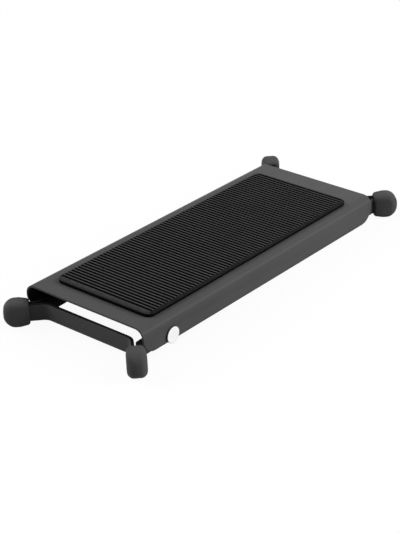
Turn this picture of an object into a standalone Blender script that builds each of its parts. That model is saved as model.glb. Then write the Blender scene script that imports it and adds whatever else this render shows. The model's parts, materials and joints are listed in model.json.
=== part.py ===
"""Folding guitar footrest, lying folded flat.

A ribbed rubber tread lies on a steel plate whose long sides are folded down into flanges.
Two U-shaped legs of flat strap cross under the plate. The outer leg hangs on two rivets in
the flanges, near one end. The inner leg is riveted to the middle of the outer leg, and a
notch bar across its free ends drops into toothed racks under the plate, which sets the height.
Each corner of the legs is a strap folded back on itself, with a rubber foot cap pushed over it.

Metres, +Z up, +X along the plate towards its free end. The origin is the middle of the
footrest's box, on the surface that the foot caps stand on.
"""

import math

import bmesh
import bpy
from mathutils import Matrix, Vector

# Clearances
seat_gap = 0.0003
hole_clearance = 0.0002
arm_headroom = 0.0010
tooth_headroom = 0.0005
flange_corner_gap = 0.0012
cutter_overrun = 0.0020

# Plate
plate_length = 0.2500
plate_width = 0.1010
plate_height = 0.0185
plate_sheet = 0.0015
fold_inner_radius = 0.0055
plate_edge_round = 0.0002

# Tread mat
mat_length = 0.2154
mat_width = 0.0805
mat_edge_height = 0.0023
mat_border_width = 0.0038
mat_border_rise = 0.0010
mat_corner_radius = 0.0055
mat_setback = 0.0041
mat_sideways = 0.00365
rib_pitch = 0.003055
groove_depth = 0.0010
groove_top_width = 0.0015
groove_floor_width = 0.0009

# Legs of flat strap
strap_height = 0.0120
strap_thickness = 0.0023
strap_edge_round = 0.0003
bend_inner_radius = 0.0010
crossbar_bend_inner_radius = 0.0070
ear_fold_gap = 0.0009
arm_end_reach = 0.0060
arm_corner_radius = 0.0015
pivot_inset = 0.0266
pivot_height = 0.00433
near_crossbar_inset = 0.00457
near_crossbar_height = 0.0007
far_crossbar_overhang = 0.0019
end_round_share = 0.98

# Rubber foot caps
cap_length = 0.0175
cap_side_wall = 0.00345
cap_top_wall = 0.0029
cap_end_wall = 0.0030
cap_nose_radius = 0.0080
cap_nose_crown = 0.0025
cap_sole_length = 0.0030
cap_edge_radius = 0.0040
cap_rim_radius = 0.0018
cap_rim_share = 0.88
near_cap_tuck_sideways = 0.0014
near_cap_tuck_lengthways = 0.00145
far_cap_gap_sideways = 0.00322
far_cap_gap_lengthways = 0.00341

# Rivets and washers
shank_radius = 0.0030
plate_rivet_head_radius = 0.0057
plate_rivet_head_height = 0.0013
plate_rivet_rim_height = 0.0006
rivet_disc_radius = 0.0050
rivet_disc_height = 0.0008
tail_radius = 0.0044
tail_height = 0.0020
washer_radius = 0.0052
washer_height = 0.0008

# Notch bar and racks
bar_radius = 0.0025
bar_tenon_radius = 0.0020
bar_head_radius = 0.0036
rack_sheet = 0.0015
rack_base_width = 0.0090
rack_fold_inner_radius = 0.0005
rack_from_arm = 0.0068
rack_end_margin = 0.0050
first_notch_reach = 0.1580
notch_pitch = 0.0075
notch_count = 5
notch_depth = 0.0024
notch_clearance = 0.00015
notch_ramp_angle = math.radians(45)

# Facets
arc_step = math.radians(15)
turn_steps = 28
arc_segments = 6
rim_segments = 3
smooth_angle = math.radians(35)

# Crossing of the straps, from the middle outwards
layer_gap = washer_height + 2 * seat_gap
outer_arm_y = plate_width / 2 - plate_sheet - layer_gap - strap_thickness / 2
inner_arm_y = outer_arm_y - strap_thickness - layer_gap
ear_radius = (strap_thickness + ear_fold_gap) / 2
bend_radius = bend_inner_radius + strap_thickness / 2
crossbar_bend_radius = crossbar_bend_inner_radius + strap_thickness / 2

# Foot caps over the folded ears
cap_slot_width = 2 * (ear_radius + strap_thickness / 2 + seat_gap)
cap_slot_height = strap_height + 2 * seat_gap
cap_thickness = cap_slot_width + 2 * cap_side_wall
cap_height = cap_slot_height + 2 * cap_top_wall
cap_tip_reach = ear_radius + strap_thickness / 2 + seat_gap + cap_end_wall

# Flange corners, cut back to clear the tops of the near foot caps
fold_outer_radius = fold_inner_radius + plate_sheet
flange_corner_radius = min(
    near_crossbar_height + cap_height / 2 + flange_corner_gap,
    plate_height - fold_outer_radius - plate_edge_round,
)

# Linkage: the plate pivot and the notch bar are level with each other
far_reach = plate_length - pivot_inset + far_crossbar_overhang
near_reach = pivot_inset - near_crossbar_inset
bar_reach = far_reach - near_reach
bar_height = plate_height - plate_sheet - arm_headroom - strap_height / 2
plate_tilt = math.asin((bar_height - pivot_height) / bar_reach)
crossbar_drop = pivot_height - near_crossbar_height
foot_drop = crossbar_drop * math.cos(plate_tilt) - near_reach * math.sin(plate_tilt)
leg_length = math.hypot(far_reach, foot_drop)
leg_angle = math.asin(foot_drop / leg_length)
upper_arm = bar_reach / 2 / math.cos(leg_angle)
lower_arm = leg_length - upper_arm


def clear_scene():
    """Remove every object that is in the scene."""
    for old in list(bpy.data.objects):
        bpy.data.objects.remove(old, do_unlink=True)


def new_collection(name):
    """A collection linked to the scene."""
    collection = bpy.data.collections.new(name)
    bpy.context.scene.collection.children.link(collection)
    return collection


def new_material(name, color, roughness, metallic):
    """A Principled material of one colour."""
    material = bpy.data.materials.new(name)
    material.use_nodes = True
    shader = material.node_tree.nodes["Principled BSDF"]
    shader.inputs["Base Color"].default_value = (*color, 1)
    shader.inputs["Roughness"].default_value = roughness
    shader.inputs["Metallic"].default_value = metallic
    return material


def new_frame(name, parent, location, pitch):
    """An empty that is a joint's frame, pitched about the crosswise axis."""
    frame = bpy.data.objects.new(name, None)
    frame.empty_display_size = strap_height
    parts.objects.link(frame)
    frame.parent = parent
    frame.location = location
    frame.rotation_euler = (0, pitch, 0)
    return frame


def add_object(name, data, collection, parent, location=(0, 0, 0), rotation=(0, 0, 0)):
    """Link an object to a collection and place it in its parent's frame."""
    thing = bpy.data.objects.new(name, data)
    collection.objects.link(thing)
    thing.parent = parent
    thing.location = location
    thing.rotation_euler = rotation
    return thing


def baked_mesh(thing):
    """The object's evaluated shape as a welded mesh, in the object's own frame."""
    bpy.context.view_layer.update()
    depsgraph = bpy.context.evaluated_depsgraph_get()
    mesh = bpy.data.meshes.new_from_object(thing.evaluated_get(depsgraph))
    shape = bmesh.new()
    shape.from_mesh(mesh)
    bmesh.ops.remove_doubles(shape, verts=shape.verts, dist=weld_distance)
    bmesh.ops.recalc_face_normals(shape, faces=shape.faces)
    shape.to_mesh(mesh)
    shape.free()
    return mesh


def replace_by_mesh(thing):
    """Turn a curve or a modified object into a plain mesh object at the same place."""
    mesh = baked_mesh(thing)
    mesh.name = thing.name
    name, parent, collection = thing.name, thing.parent, thing.users_collection[0]
    location, rotation = thing.location.copy(), thing.rotation_euler.copy()
    bpy.data.objects.remove(thing, do_unlink=True)
    return add_object(name, mesh, collection, parent, location, rotation)


def finish(thing, material):
    """Give a part its material and smooth shading between its sharp edges."""
    thing.data.materials.clear()
    thing.data.materials.append(material)
    thing.data.shade_smooth()
    thing.data.set_sharp_from_angle(angle=smooth_angle)
    return thing


def rounded_path(corners, radii):
    """Points of an open path whose inner corners are arcs of the given radii."""
    points = [Vector(corners[0])]
    for before, corner, after, radius in zip(corners, corners[1:], corners[2:], radii):
        corner = Vector(corner)
        back = (Vector(before) - corner).normalized()
        ahead = (Vector(after) - corner).normalized()
        half_angle = back.angle(ahead) / 2
        centre = corner + (back + ahead).normalized() * (radius / math.sin(half_angle))
        start = corner + back * (radius / math.tan(half_angle)) - centre
        turn = math.copysign(math.pi - 2 * half_angle, back.cross(start))
        steps = math.ceil(abs(turn) / arc_step - weld_share)
        for step in range(steps + 1):
            point = centre + Matrix.Rotation(turn * step / steps, 2) @ start
            if (point - points[-1]).length > weld_distance:
                points.append(point)
    points.append(Vector(corners[-1]))
    return points


def strip(name, points, width, collection, parent, location=(0, 0, 0), rotation=(0, 0, 0)):
    """An upright strip of the given width along an open path, as a curve."""
    curve = bpy.data.curves.new(name, "CURVE")
    curve.dimensions = "2D"
    curve.fill_mode = "NONE"
    curve.extrude = width / 2
    spline = curve.splines.new("POLY")
    spline.points.add(len(points) - 1)
    for place, point in zip(spline.points, points):
        place.co = (point[0], point[1], 0, 1)
    return add_object(name, curve, collection, parent, location, rotation)


def slab(name, points, width, collection, parent, location=(0, 0, 0), rotation=(0, 0, 0)):
    """A solid of the given width on a closed flat outline."""
    thing = strip(name, points, width, collection, parent, location, rotation)
    thing.data.splines[0].use_cyclic_u = True
    thing.data.fill_mode = "BOTH"
    return replace_by_mesh(thing)


def thicken(thing, thickness):
    """Give a strip its thickness, half to each side, as a mesh."""
    solid = thing.modifiers.new("thickness", "SOLIDIFY")
    solid.thickness = thickness
    solid.offset = 0
    solid.use_even_offset = True
    return replace_by_mesh(thing)


def round_edges(thing, width, segments=1):
    """Break the sharp edges of a part."""
    bevel = thing.modifiers.new("edges", "BEVEL")
    bevel.width = width
    bevel.segments = segments
    bevel.limit_method = "ANGLE"
    bevel.angle_limit = smooth_angle
    bevel.use_clamp_overlap = False
    bevel.harden_normals = False


def round_corners(mesh, is_corner, radius, segments):
    """Round the edges of a mesh that a test picks."""
    shape = bmesh.new()
    shape.from_mesh(mesh)
    edges = [edge for edge in shape.edges if is_corner(edge)]
    bmesh.ops.bevel(
        shape,
        geom=edges,
        offset=radius,
        segments=segments,
        profile=0.5,
        affect="EDGES",
        clamp_overlap=True,
    )
    shape.to_mesh(mesh)
    shape.free()


def cut(thing, cutter):
    """Cut a part with a cutter."""
    boolean = thing.modifiers.new(cutter.name, "BOOLEAN")
    boolean.operation = "DIFFERENCE"
    boolean.solver = "EXACT"
    boolean.object = cutter


def hide_cutter(cutter):
    """Show a cutter as wire and keep it out of renders."""
    cutter.display_type = "WIRE"
    cutter.hide_render = True
    return cutter


def crosswise_cutter(name, radius, parent, location):
    """A round bar across the whole footrest that bores a hole in both sides."""
    shape = bmesh.new()
    bmesh.ops.create_cone(
        shape,
        cap_ends=True,
        segments=turn_steps,
        radius1=radius,
        radius2=radius,
        depth=plate_width + 2 * cutter_overrun,
    )
    mesh = bpy.data.meshes.new(name)
    shape.to_mesh(mesh)
    shape.free()
    cutter = add_object(name, mesh, cutters, parent, location, (math.radians(90), 0, 0))
    return hide_cutter(cutter)


def turned(name, profile, closed, parent, location, side, material):
    """A part turned about a crosswise axis; the profile holds radius and reach from the middle."""
    mesh = bpy.data.meshes.new(name)
    count = len(profile)
    edges = [(index, index + 1) for index in range(count - 1)]
    if closed:
        edges.append((count - 1, 0))
    mesh.from_pydata([(radius, 0, reach) for radius, reach in profile], edges, [])
    thing = add_object(name, mesh, parts, parent, location, (math.radians(-90 * side), 0, 0))
    screw = thing.modifiers.new("turn", "SCREW")
    screw.angle = math.tau
    screw.steps = turn_steps
    screw.render_steps = turn_steps
    screw.use_merge_vertices = True
    screw.merge_threshold = weld_distance
    screw.use_smooth_shade = True
    return finish(thing, material)


def arc_profile(centre, radii, start, finish_angle, segments):
    """Points of an elliptical arc in a turned profile."""
    points = []
    for index in range(segments + 1):
        angle = start + (finish_angle - start) * index / segments
        point = (centre[0] + radii[0] * math.cos(angle), centre[1] + radii[1] * math.sin(angle))
        points.append(point)
    return points


def make_plate(frame):
    """The tread plate: a sheet folded down along both long sides."""
    side_y = plate_width / 2 - plate_sheet / 2
    top_z = plate_height - plate_sheet / 2
    corners = [(-side_y, 0), (-side_y, top_z), (side_y, top_z), (side_y, 0)]
    fold_radius = fold_inner_radius + plate_sheet / 2
    points = rounded_path(corners, [fold_radius, fold_radius])
    place = (plate_centre_x, 0, -pivot_height)
    upright = (math.radians(90), 0, math.radians(90))
    plate = strip("top_plate", points, plate_length, parts, frame, place, upright)
    plate = thicken(plate, plate_sheet)

    def is_flange_corner(edge):
        """Picks the edges across the sheet at the four lower corners of the flanges."""
        ends = [abs(vertex.co.z) > plate_length / 2 - plate_sheet for vertex in edge.verts]
        low = [vertex.co.y < plate_sheet for vertex in edge.verts]
        return all(ends) and all(low) and abs(edge.verts[0].co.x - edge.verts[1].co.x) > seat_gap

    round_corners(plate.data, is_flange_corner, flange_corner_radius, arc_segments)
    round_edges(plate, plate_edge_round)
    cut(plate, crosswise_cutter("plate_pivot_bore", shank_radius + hole_clearance, frame, (0, 0, 0)))
    return finish(plate, black_paint)


def make_mat(frame):
    """The rubber tread: a slab with a sloping border and crosswise ribs between grooves."""
    shape = bmesh.new()
    bmesh.ops.create_cube(shape, size=1)
    bmesh.ops.scale(shape, verts=shape.verts, vec=(mat_length, mat_width, mat_edge_height))
    uprights = [edge for edge in shape.edges if abs(edge.verts[0].co.z - edge.verts[1].co.z) > seat_gap]
    bmesh.ops.bevel(
        shape,
        geom=uprights,
        offset=mat_corner_radius,
        segments=arc_segments,
        profile=0.5,
        affect="EDGES",
    )
    top = [face for face in shape.faces if face.normal.z > math.cos(arc_step)]
    bmesh.ops.inset_region(
        shape,
        faces=top,
        thickness=mat_border_width,
        depth=mat_border_rise,
        use_even_offset=True,
    )
    mesh = bpy.data.meshes.new("tread_mat")
    shape.to_mesh(mesh)
    shape.free()
    base_z = plate_height - pivot_height + seat_gap + mat_edge_height / 2
    place = (plate_centre_x - mat_setback, -mat_sideways, base_z)
    mat = add_object("tread_mat", mesh, parts, frame, place)
    cut(mat, groove_cutter(frame, place))
    return finish(mat, black_rubber)


def groove_cutter(frame, place):
    """A row of tapered bars, one for each groove between two ribs."""
    zone_length = mat_length - 2 * mat_border_width
    zone_width = mat_width - 2 * mat_border_width
    rib_count = round(zone_length / rib_pitch)
    top_z = mat_edge_height / 2 + mat_border_rise
    floor_z = top_z - groove_depth
    flare = (groove_top_width - groove_floor_width) / groove_depth
    widths = {True: groove_top_width + flare * cutter_overrun, False: groove_floor_width}
    heights = {True: top_z + cutter_overrun, False: floor_z}
    shape = bmesh.new()
    for index in range(1, rib_count):
        centre_x = (index / rib_count - 0.5) * zone_length
        bar = bmesh.ops.create_cube(shape, size=1)
        for vertex in bar["verts"]:
            upper = vertex.co.z > 0
            vertex.co.x = centre_x + vertex.co.x * widths[upper]
            vertex.co.y *= zone_width
            vertex.co.z = heights[upper]
    mesh = bpy.data.meshes.new("mat_grooves")
    shape.to_mesh(mesh)
    shape.free()
    return hide_cutter(add_object("mat_grooves", mesh, cutters, frame, place))


def ear_corners(crossbar_x, plate_corner_x, arm_y, sideways, lengthways):
    """Path corners from the arm round the folded ear to the crossbar, on the +Y side.

    The ear runs out at 45 degrees. Its line is set by how far the foot cap's side passes
    the plate's corner, and its length by how far the cap's rim passes it.
    """
    plate_corner_y = plate_width / 2
    line = (plate_corner_x - plate_corner_y) / diagonal + cap_thickness / 2 + sideways
    rim = (plate_corner_x + plate_corner_y) / diagonal + lengthways
    fold = rim + cap_length - cap_tip_reach
    arm_line = line - ear_radius
    bar_line = line + ear_radius
    fold_end = fold + ear_radius
    corners = [
        (arm_y + diagonal * arm_line, arm_y),
        ((fold_end + arm_line) / diagonal, (fold_end - arm_line) / diagonal),
        ((fold_end + bar_line) / diagonal, (fold_end - bar_line) / diagonal),
        (crossbar_x, crossbar_x - diagonal * bar_line),
    ]
    fold_centre = ((fold + line) / diagonal, (fold - line) / diagonal)
    return corners, fold_centre


def make_leg(name, frame, ends, arm_y, arm_reach, forward):
    """A U-shaped leg: arm, folded ear, crossbar, folded ear and arm in one strap."""
    side = [(-arm_reach, arm_y)] + ends
    path = side + [(x, -y) for x, y in reversed(side)]
    path = [(forward * x, y) for x, y in path]
    radii = [bend_radius, ear_radius, ear_radius, crossbar_bend_radius]
    points = rounded_path(path, radii + radii[::-1])
    leg = strip(name, points, strap_height, parts, frame)
    return thicken(leg, strap_thickness)


def round_arm_ends(leg, reach, forward, radius):
    """Round the upper and lower corners of both arm ends."""

    def is_end_corner(edge):
        """Picks the edges across the strap at the arm ends."""
        at_end = [forward * vertex.co.x < -reach + seat_gap for vertex in edge.verts]
        across = abs(edge.verts[0].co.y - edge.verts[1].co.y) > seat_gap
        return all(at_end) and across

    round_corners(leg.data, is_end_corner, radius, arc_segments)


def make_outer_leg(frame, ends):
    """The leg that hangs on the plate rivets, with square arm ends."""
    reach = upper_arm + arm_end_reach
    leg = make_leg("outer_leg_strap", frame, ends, outer_arm_y, reach, 1)
    round_arm_ends(leg, reach, 1, arm_corner_radius)
    round_edges(leg, strap_edge_round)
    bore = shank_radius + hole_clearance
    cut(leg, crosswise_cutter("outer_arm_pivot_bore", bore, frame, (-upper_arm, 0, 0)))
    cut(leg, crosswise_cutter("outer_arm_middle_bore", bore, frame, (0, 0, 0)))
    return finish(leg, black_paint)


def make_inner_leg(frame, ends):
    """The leg that carries the notch bar, with round arm ends."""
    reach = upper_arm + strap_height / 2
    leg = make_leg("inner_leg_strap", frame, ends, inner_arm_y, reach, -1)
    round_arm_ends(leg, reach, -1, strap_height / 2 * end_round_share)
    round_edges(leg, strap_edge_round)
    tenon_bore = bar_tenon_radius + hole_clearance
    cut(leg, crosswise_cutter("inner_arm_bar_bore", tenon_bore, frame, (upper_arm, 0, 0)))
    middle_bore = shank_radius + hole_clearance
    cut(leg, crosswise_cutter("inner_arm_middle_bore", middle_bore, frame, (0, 0, 0)))
    return finish(leg, black_paint)


def foot_cap_mesh():
    """A boxy rubber cap, smaller at its rim, with a round crowned nose and a slot for the ear.

    Local +X points out along the ear, and the origin is the middle of the ear's fold.
    """
    rim_x = cap_tip_reach - cap_length
    nose_x = cap_tip_reach - cap_nose_radius
    shape = bmesh.new()
    bmesh.ops.create_cube(shape, size=1)
    bmesh.ops.scale(shape, verts=shape.verts, vec=(cap_length, cap_thickness, cap_height))
    middle_x = cap_tip_reach - cap_length / 2
    bmesh.ops.translate(shape, verts=shape.verts, vec=(middle_x, 0, 0))

    def bevel(edges, radius, segments):
        """Round some edges of the cap."""
        bmesh.ops.bevel(
            shape,
            geom=edges,
            offset=radius,
            segments=segments,
            profile=0.5,
            affect="EDGES",
        )

    def on_rim(edge):
        """Whether an edge lies in the plane of the cap's rim."""
        return all(vertex.co.x < rim_x + seat_gap for vertex in edge.verts)

    tip_edges = [
        edge
        for edge in shape.edges
        if all(vertex.co.x > nose_x for vertex in edge.verts)
        and abs(edge.verts[0].co.y - edge.verts[1].co.y) > seat_gap
    ]
    bevel(tip_edges, cap_nose_radius, arc_segments)
    side_edges = [
        edge
        for edge in shape.edges
        if not on_rim(edge)
        and any(abs(face.normal.y) > math.cos(arc_step) for face in edge.link_faces)
    ]
    bevel(side_edges, cap_edge_radius, arc_segments - 1)
    bevel([edge for edge in shape.edges if on_rim(edge)], cap_rim_radius, rim_segments)
    sole_x = nose_x - cap_sole_length
    every_part = shape.verts[:] + shape.edges[:] + shape.faces[:]
    bmesh.ops.bisect_plane(shape, geom=every_part, plane_co=(sole_x, 0, 0), plane_no=(1, 0, 0))
    for vertex in shape.verts:
        ahead = max((vertex.co.x - nose_x) / cap_nose_radius, 0)
        aside = vertex.co.y / (cap_thickness / 2)
        vertex.co.x -= cap_nose_crown * ahead * aside**2
        nearness = (sole_x - vertex.co.x) / (sole_x - rim_x)
        rim_scale = 1 - (1 - cap_rim_share) * min(max(nearness, 0), 1)
        vertex.co.y *= rim_scale
        vertex.co.z *= rim_scale
    mesh = bpy.data.meshes.new("foot_cap")
    shape.to_mesh(mesh)
    shape.free()
    blank = add_object("foot_cap_blank", mesh, cutters, None)
    slot = cap_slot_cutter(rim_x)
    cut(blank, slot)
    cap = baked_mesh(blank)
    cap.name = "foot_cap"
    bpy.data.objects.remove(blank, do_unlink=True)
    bpy.data.objects.remove(slot, do_unlink=True)
    return cap


def cap_slot_cutter(rim_x):
    """The space inside a foot cap: the outline of the folded ear and a clearance round it."""
    half_width = cap_slot_width / 2
    mouth_x = rim_x - cutter_overrun
    start = math.radians(-90)
    nose = [
        (half_width * math.cos(start + arc_step * step), half_width * math.sin(start + arc_step * step))
        for step in range(round(math.pi / arc_step) + 1)
    ]
    outline = [(mouth_x, -half_width)] + nose + [(mouth_x, half_width)]
    return hide_cutter(slab("foot_cap_slot", outline, cap_slot_height, cutters, None))


def place_caps(end, frame, fold_centre, forward, mesh):
    """A foot cap on each ear of a leg."""
    for side_name, side in sides.items():
        turn = math.atan2(side, forward)
        place = (forward * fold_centre[0], side * fold_centre[1], 0)
        name = f"{end}_{side_name}_foot_cap"
        cap = add_object(name, mesh, parts, frame, place, (0, 0, turn))
        finish(cap, cap_rubber)


def make_plate_rivets(frame):
    """The pivot rivets: a low domed head on the flange and a thin tail inside the outer arm."""
    head_base = plate_width / 2 + seat_gap
    rim_reach = head_base + plate_rivet_rim_height
    crown = plate_rivet_head_height - plate_rivet_rim_height
    tail_end = inner_arm_y + strap_thickness / 2 + seat_gap
    tail_base = tail_end + rivet_disc_height
    dome = arc_profile((0, rim_reach), (plate_rivet_head_radius, crown), math.radians(90), 0, arc_segments)
    dome[0] = (0, dome[0][1])
    profile = dome + [
        (plate_rivet_head_radius, head_base),
        (shank_radius, head_base),
        (shank_radius, tail_base),
        (rivet_disc_radius, tail_base),
        (rivet_disc_radius, tail_end),
        (0, tail_end),
    ]
    for side_name, side in sides.items():
        name = f"plate_rivet_{side_name}"
        turned(name, profile, False, frame, (0, 0, 0), side, zinc)


def make_leg_rivets(frame):
    """The rivets at the crossing: a thin head under the flange and a domed tail inside."""
    head_base = outer_arm_y + strap_thickness / 2 + seat_gap
    head_top = head_base + rivet_disc_height
    tail_base = inner_arm_y - strap_thickness / 2 - washer_height - 2 * seat_gap
    dome = arc_profile((0, tail_base), (tail_radius, tail_height), 0, math.radians(-90), arc_segments)
    dome[-1] = (0, dome[-1][1])
    profile = [
        (0, head_top),
        (rivet_disc_radius, head_top),
        (rivet_disc_radius, head_base),
        (shank_radius, head_base),
        (shank_radius, tail_base),
    ] + dome
    for side_name, side in sides.items():
        turned(f"leg_rivet_{side_name}", profile, False, frame, (0, 0, 0), side, zinc)


def make_washers(kind, inner_face, frame):
    """A pair of flat washers on a rivet, given the face nearer the middle."""
    outer_face = inner_face + washer_height
    bore = shank_radius + hole_clearance
    profile = [
        (washer_radius, outer_face),
        (washer_radius, inner_face),
        (bore, inner_face),
        (bore, outer_face),
    ]
    for side_name, side in sides.items():
        turned(f"{kind}_washer_{side_name}", profile, True, frame, (0, 0, 0), side, zinc)


def make_notch_bar(frame):
    """The round bar across the inner leg's ends, shouldered inside and headed outside."""
    shoulder = inner_arm_y - strap_thickness / 2 - seat_gap
    head_base = inner_arm_y + strap_thickness / 2 + seat_gap
    head_end = head_base + rivet_disc_height
    half = [
        (0, head_end),
        (bar_head_radius, head_end),
        (bar_head_radius, head_base),
        (bar_tenon_radius, head_base),
        (bar_tenon_radius, shoulder),
        (bar_radius, shoulder),
    ]
    profile = half + [(radius, -reach) for radius, reach in reversed(half)]
    turned("notch_bar", profile, False, frame, (upper_arm, 0, 0), 1, zinc)


def make_racks(frame):
    """The toothed racks: angle strips under the plate with notches along their webs."""
    web_y = inner_arm_y - rack_from_arm
    under_plate = plate_height - plate_sheet - pivot_height - seat_gap
    base_z = under_plate - rack_sheet / 2
    tip_height = bar_radius + tooth_headroom
    last_notch = first_notch_reach + notch_pitch * (notch_count - 1)
    start_x = first_notch_reach - rack_end_margin
    end_x = last_notch + rack_end_margin
    low_z = start_x * math.sin(plate_tilt) + tip_height - cutter_overrun
    fold_radius = rack_fold_inner_radius + rack_sheet / 2
    cutter = tooth_cutter(frame, tip_height, start_x, end_x)
    for side_name, side in sides.items():
        corners = [
            (side * (web_y - rack_base_width), base_z),
            (side * web_y, base_z),
            (side * web_y, low_z),
        ]
        points = rounded_path(corners, [fold_radius])
        place = ((start_x + end_x) / 2, 0, 0)
        upright = (math.radians(90), 0, math.radians(90))
        name = f"notch_rack_{side_name}"
        rack = strip(name, points, end_x - start_x, parts, frame, place, upright)
        rack = thicken(rack, rack_sheet)
        cut(rack, cutter)
        finish(rack, zinc)


def tooth_cutter(frame, tip_height, start_x, end_x):
    """The space below the teeth: round seats with a steep far side and a sloping near side.

    The outline lies in the line from the plate pivot to the notch bar, so the bar passes
    all the tips at the same distance.
    """
    seat_radius = bar_radius + notch_clearance
    seat_height = tip_height + notch_depth - seat_radius
    ramp = Vector((-math.sin(notch_ramp_angle), math.cos(notch_ramp_angle))) * seat_radius
    ramp_foot = ramp.x - (seat_height + ramp.y - tip_height) / math.tan(notch_ramp_angle)
    steps = round((math.radians(90) + notch_ramp_angle) / arc_step)
    outline = [(start_x - cutter_overrun, tip_height)]
    for index in range(notch_count):
        centre_x = first_notch_reach + notch_pitch * index
        outline.append((centre_x + ramp_foot, tip_height))
        for step in range(steps + 1):
            angle = math.radians(90) + notch_ramp_angle - arc_step * step
            across = centre_x + seat_radius * math.cos(angle)
            outline.append((across, seat_height + seat_radius * math.sin(angle)))
        outline.append((centre_x + seat_radius, tip_height))
    outline.append((end_x + cutter_overrun, tip_height))
    outline.append((end_x + cutter_overrun, -bar_radius))
    outline.append((start_x - cutter_overrun, -bar_radius))
    rotation = (math.radians(90), -plate_tilt, 0)
    width = plate_width + 2 * cutter_overrun
    return hide_cutter(slab("rack_teeth", outline, width, cutters, frame, (0, 0, 0), rotation))


def measured_box():
    """The lowest and highest corners of all the parts in the world."""
    bpy.context.view_layer.update()
    depsgraph = bpy.context.evaluated_depsgraph_get()
    places = []
    for thing in parts.objects:
        if thing.type == "MESH":
            evaluated = thing.evaluated_get(depsgraph)
            mesh = evaluated.to_mesh()
            places += [evaluated.matrix_world @ vertex.co for vertex in mesh.vertices]
            evaluated.to_mesh_clear()
    low = [min(place[axis] for place in places) for axis in range(3)]
    high = [max(place[axis] for place in places) for axis in range(3)]
    return low, high


def stand_on_floor(frame):
    """Move the footrest so that its box is centred over the origin and stands at zero."""
    low, high = measured_box()
    frame.location.x -= (low[0] + high[0]) / 2
    frame.location.y -= (low[1] + high[1]) / 2
    frame.location.z -= low[2]
    bpy.context.view_layer.update()


weld_distance = seat_gap / 30
weld_share = 0.001
diagonal = math.sqrt(2)
plate_centre_x = plate_length / 2 - pivot_inset
sides = {"left": 1, "right": -1}

clear_scene()
parts = new_collection("guitar_footrest")
cutters = new_collection("cutters")

black_paint = new_material("black_paint", (0.055, 0.055, 0.058), 0.45, 0)
black_rubber = new_material("black_rubber", (0.030, 0.030, 0.031), 0.75, 0)
cap_rubber = new_material("cap_rubber", (0.028, 0.028, 0.030), 0.60, 0)
zinc = new_material("zinc", (0.72, 0.72, 0.71), 0.30, 1)

# Joint frames: the plate turns on its pivot, the inner leg on the crossing of the legs
footrest = new_frame("footrest", None, (0, 0, 0), 0)
crossing = (upper_arm * math.cos(leg_angle), 0, -upper_arm * math.sin(leg_angle))
plate_frame = new_frame("plate_frame", footrest, (0, 0, 0), plate_tilt)
outer_leg_frame = new_frame("outer_leg_frame", footrest, crossing, leg_angle)
inner_leg_frame = new_frame("inner_leg_frame", footrest, crossing, -leg_angle)

far_ends, far_fold = ear_corners(
    lower_arm,
    plate_length - pivot_inset - upper_arm,
    outer_arm_y,
    far_cap_gap_sideways,
    far_cap_gap_lengthways,
)
near_ends, near_fold = ear_corners(
    lower_arm,
    upper_arm + pivot_inset,
    inner_arm_y,
    -near_cap_tuck_sideways,
    -near_cap_tuck_lengthways,
)

make_plate(plate_frame)
make_mat(plate_frame)
make_racks(plate_frame)
make_plate_rivets(plate_frame)
make_washers("plate", outer_arm_y + strap_thickness / 2 + seat_gap, plate_frame)

make_outer_leg(outer_leg_frame, far_ends)
make_leg_rivets(outer_leg_frame)
make_washers("leg", inner_arm_y + strap_thickness / 2 + seat_gap, outer_leg_frame)

make_inner_leg(inner_leg_frame, near_ends)
make_notch_bar(inner_leg_frame)
backing_face = inner_arm_y - strap_thickness / 2 - seat_gap - washer_height
make_washers("backing", backing_face, inner_leg_frame)

cap_mesh = foot_cap_mesh()
place_caps("far", outer_leg_frame, far_fold, 1, cap_mesh)
place_caps("near", inner_leg_frame, near_fold, -1, cap_mesh)

stand_on_floor(footrest)
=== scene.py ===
"""Folding guitar footrest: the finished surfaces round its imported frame.

Every piece is modelled in its own carrier's frame (the plate, the outer leg or the inner leg),
where its sizes are plain, and then moved into the footrest's frame through its mesh.
"""
from __future__ import annotations

import json
import logging
import math
from dataclasses import dataclass, field, replace
from enum import Enum, IntEnum
from typing import Callable, Optional, Sequence, Union

import bmesh
import bpy
from mathutils import Matrix, Vector

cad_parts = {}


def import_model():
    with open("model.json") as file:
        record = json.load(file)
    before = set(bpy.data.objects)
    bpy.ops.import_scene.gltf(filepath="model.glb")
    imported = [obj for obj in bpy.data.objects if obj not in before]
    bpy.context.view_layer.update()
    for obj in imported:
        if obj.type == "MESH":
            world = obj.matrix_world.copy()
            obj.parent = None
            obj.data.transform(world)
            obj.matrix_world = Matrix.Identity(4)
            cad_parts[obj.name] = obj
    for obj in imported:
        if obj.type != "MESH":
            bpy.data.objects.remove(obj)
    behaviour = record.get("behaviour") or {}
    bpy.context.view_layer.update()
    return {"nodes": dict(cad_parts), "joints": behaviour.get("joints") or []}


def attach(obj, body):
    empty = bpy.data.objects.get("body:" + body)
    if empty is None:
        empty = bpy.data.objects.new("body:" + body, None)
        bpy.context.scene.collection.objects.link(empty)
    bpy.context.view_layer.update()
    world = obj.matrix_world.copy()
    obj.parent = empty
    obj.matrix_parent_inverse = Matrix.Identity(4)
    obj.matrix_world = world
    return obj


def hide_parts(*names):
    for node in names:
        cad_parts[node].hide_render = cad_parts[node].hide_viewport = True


log = logging.getLogger("footrest")

Piece = bpy.types.Object
Socket = bpy.types.NodeSocket
Edge = bmesh.types.BMEdge
Face = bmesh.types.BMFace
Triple = Sequence[float]
Color = tuple[float, float, float]
Feed = Union[Socket, float, Sequence[float]]
Inputs = dict[Union[str, int], Feed]

# Sizes that several pieces share.
PLATE_LENGTH = 0.2500
PLATE_WIDTH = 0.1010
PLATE_HEIGHT = 0.0185
SEAT_GAP = 0.0003

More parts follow.
